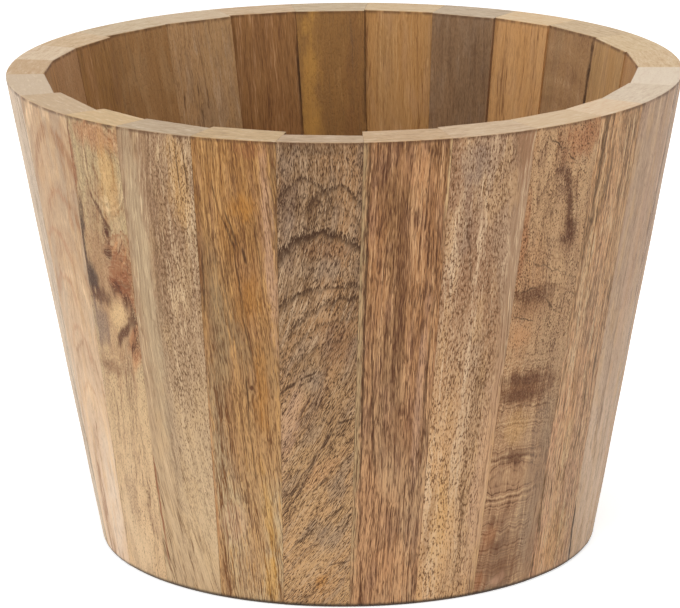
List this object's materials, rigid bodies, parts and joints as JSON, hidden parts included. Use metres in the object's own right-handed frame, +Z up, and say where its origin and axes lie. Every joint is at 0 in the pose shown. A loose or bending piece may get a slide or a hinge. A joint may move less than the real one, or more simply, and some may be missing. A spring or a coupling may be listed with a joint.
{
  "type": "wooden flower pot",
  "caption": "Round tapered flower pot of upright hardwood staves in mixed browns, turned smooth outside, flat-faced inside, open at the top, with a boarded base in a groove.",
  "frame": {"origin": "centre of the foot, on the surface that the pot stands on", "axes": "+Z up along the axis of the pot, -Y to the front as pictured, +X to the right"},
  "size_m": [0.2516, 0.2516, 0.18],
  "materials": {
    "knotty_brown": "oiled",
    "olive_tan": "oiled",
    "golden_tan": "oiled",
    "grey_brown": "oiled",
    "red_brown": "oiled",
    "pale_tan": "oiled",
    "base_tan": "raw"
  },
  "bodies": {
    "root": {"stave_01": "knotty_brown", "stave_02": "olive_tan", "stave_03": "golden_tan", "stave_04": "grey_brown", "stave_05": "red_brown", "stave_06": "pale_tan", "stave_07": "knotty_brown", "stave_08": "olive_tan", "stave_09": "pale_tan", "stave_10": "red_brown", "stave_11": "golden_tan", "stave_12": "golden_tan", "stave_13": "knotty_brown", "stave_14": "golden_tan", "stave_15": "grey_brown", "stave_16": "golden_tan", "stave_17": "olive_tan", "stave_18": "red_brown", "stave_19": "grey_brown", "stave_20": "olive_tan", "stave_21": "red_brown", "stave_22": "pale_tan", "stave_23": "golden_tan", "stave_24": "olive_tan", "stave_25": "pale_tan", "base_board_1": "base_tan", "base_board_2": "base_tan", "base_board_3": "base_tan", "base_board_4": "base_tan", "base_board_5": "base_tan"}
  },
  "joints": []
}
